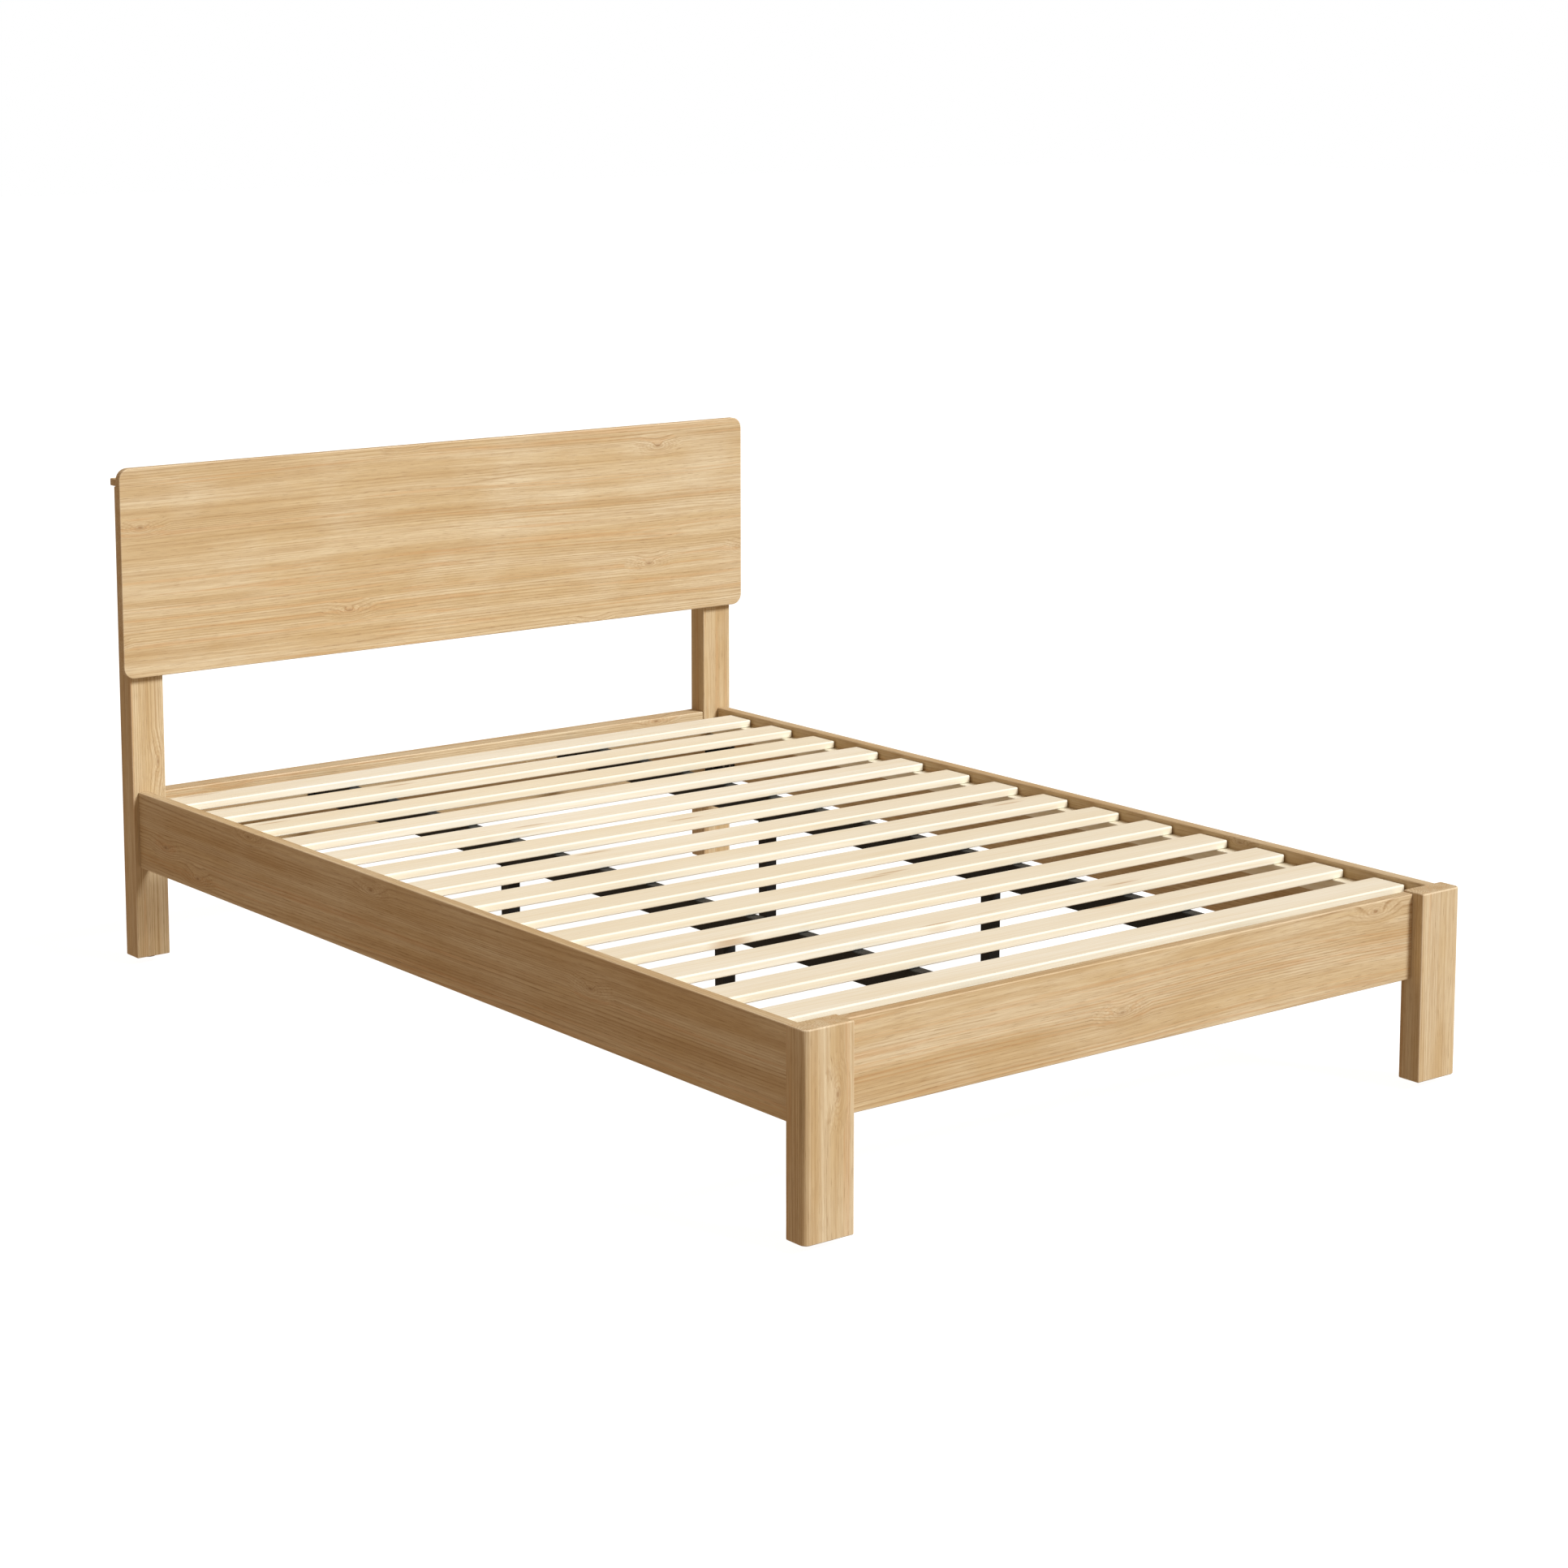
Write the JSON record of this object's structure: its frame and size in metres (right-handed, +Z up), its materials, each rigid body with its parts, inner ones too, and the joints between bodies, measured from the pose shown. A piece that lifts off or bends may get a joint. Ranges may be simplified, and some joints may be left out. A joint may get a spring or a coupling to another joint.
{
  "type": "wooden bed frame",
  "caption": "Double bed frame in light oak with a plain panel headboard, rounded foot legs, loose pine slats and black steel centre beams.",
  "frame": {"origin": "on the floor, below the centre of the bounding box", "axes": "+X to the right-hand side as seen from the foot, +Y towards the headboard, +Z up"},
  "size_m": [1.461, 2.115, 0.95],
  "materials": {
    "oak": "light oak, clear satin lacquer, horizontal grain on rails and panel",
    "pine_slats": "planed pale pine, unfinished",
    "black_steel": "satin black powder coat",
    "zinc_steel": "bright zinc plate",
    "black_plastic": "moulded black nylon"
  },
  "bodies": {
    "frame": {"beam_saddle_foot_left": "black_steel", "beam_saddle_foot_right": "black_steel", "beam_saddle_head_left": "black_steel", "beam_saddle_head_right": "black_steel", "centre_beam_left": "black_steel", "centre_beam_right": "black_steel", "centre_leg_foot_left": "black_steel", "centre_leg_foot_right": "black_steel", "centre_leg_head_left": "black_steel", "centre_leg_head_right": "black_steel", "corner_bolt_foot_left_lower": "zinc_steel", "corner_bolt_foot_left_upper": "zinc_steel", "corner_bolt_foot_right_lower": "zinc_steel", "corner_bolt_foot_right_upper": "zinc_steel", "corner_bolt_head_left_lower": "zinc_steel", "corner_bolt_head_left_upper": "zinc_steel", "corner_bolt_head_right_lower": "zinc_steel", "corner_bolt_head_right_upper": "zinc_steel", "corner_bracket_foot_left": "black_steel", "corner_bracket_foot_right": "black_steel", "corner_bracket_head_left": "black_steel", "corner_bracket_head_right": "black_steel", "floor_glide_foot_left": "black_plastic", "floor_glide_foot_right": "black_plastic", "floor_glide_head_left": "black_plastic", "floor_glide_head_right": "black_plastic", "foot_leg_left": "oak", "foot_leg_right": "oak", "foot_rail": "oak", "head_post_left": "oak", "head_post_right": "oak", "head_rail": "oak", "headboard_cap_rail": "oak", "headboard_panel": "oak", "headboard_screw_left_lower": "zinc_steel", "headboard_screw_left_upper": "zinc_steel", "headboard_screw_right_lower": "zinc_steel", "headboard_screw_right_upper": "zinc_steel", "side_rail_left": "oak", "side_rail_right": "oak", "slat_01": "pine_slats", "slat_02": "pine_slats", "slat_03": "pine_slats", "slat_04": "pine_slats", "slat_05": "pine_slats", "slat_06": "pine_slats", "slat_07": "pine_slats", "slat_08": "pine_slats", "slat_09": "pine_slats", "slat_10": "pine_slats", "slat_11": "pine_slats", "slat_12": "pine_slats", "slat_13": "pine_slats", "slat_14": "pine_slats", "slat_ledge_left": "pine_slats", "slat_ledge_right": "pine_slats"},
    "levelling_foot_foot_left": {"levelling_foot_foot_left": "black_plastic"},
    "levelling_foot_foot_right": {"levelling_foot_foot_right": "black_plastic"},
    "levelling_foot_head_left": {"levelling_foot_head_left": "black_plastic"},
    "levelling_foot_head_right": {"levelling_foot_head_right": "black_plastic"}
  },
  "joints": [
    {"name": "levelling_foot_foot_left_height", "type": "slide", "parent": "frame", "child": "levelling_foot_foot_left", "axis": [0, 0, -1], "range_m": [-0.007, 0.012]},
    {"name": "levelling_foot_foot_right_height", "type": "slide", "parent": "frame", "child": "levelling_foot_foot_right", "axis": [0, 0, -1], "range_m": [-0.007, 0.012]},
    {"name": "levelling_foot_head_left_height", "type": "slide", "parent": "frame", "child": "levelling_foot_head_left", "axis": [0, 0, -1], "range_m": [-0.007, 0.012]},
    {"name": "levelling_foot_head_right_height", "type": "slide", "parent": "frame", "child": "levelling_foot_head_right", "axis": [0, 0, -1], "range_m": [-0.007, 0.012]}
  ]
}
